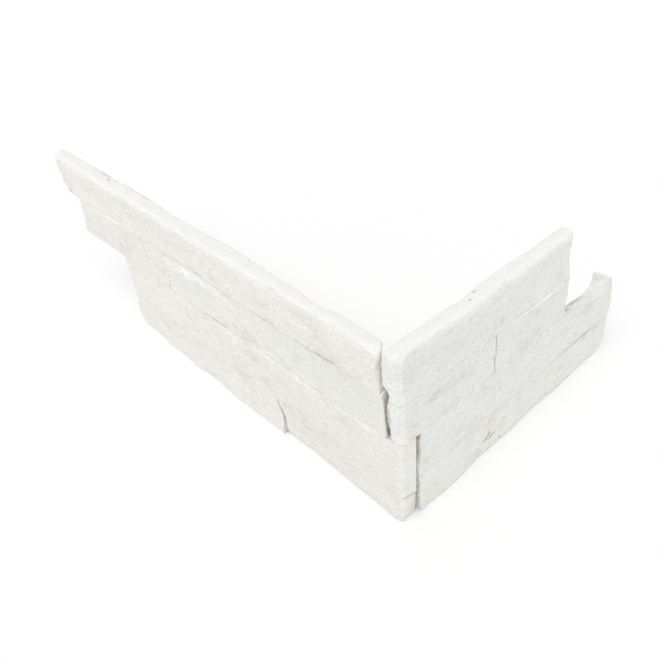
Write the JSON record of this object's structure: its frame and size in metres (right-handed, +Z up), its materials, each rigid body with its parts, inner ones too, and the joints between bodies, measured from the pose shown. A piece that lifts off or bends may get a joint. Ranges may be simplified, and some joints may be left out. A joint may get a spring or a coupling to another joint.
{
  "type": "split face corner tile",
  "caption": "Corner panel of white split-face stone: flat-backed strips in stepped courses, two legs at a right angle lapped at the corner.",
  "frame": {"origin": "foot of the vertical line where the flat backs of the two legs meet, level with the underside of the bottom course; it sits on the outside corner of the wall", "axes": "-X along the long leg to its free end; +Y along the short leg to its free end; +Z up the courses; the long leg's riven face looks to -Y and the short leg's to +X"},
  "size_m": [0.4569, 0.2661, 0.1524],
  "materials": {
    "stone": "riven white quartzite, sugary crystal grain, matt with faint sparkle, sawn beds and backs"
  },
  "bodies": {
    "root": {"long_top_strip": "stone", "long_second_outer_strip": "stone", "long_second_inner_strip": "stone", "long_third_strip": "stone", "long_bottom_outer_strip": "stone", "long_bottom_corner_strip": "stone", "short_top_strip": "stone", "short_second_corner_strip": "stone", "short_second_outer_strip": "stone", "short_third_strip": "stone", "short_bottom_strip": "stone"}
  },
  "joints": []
}
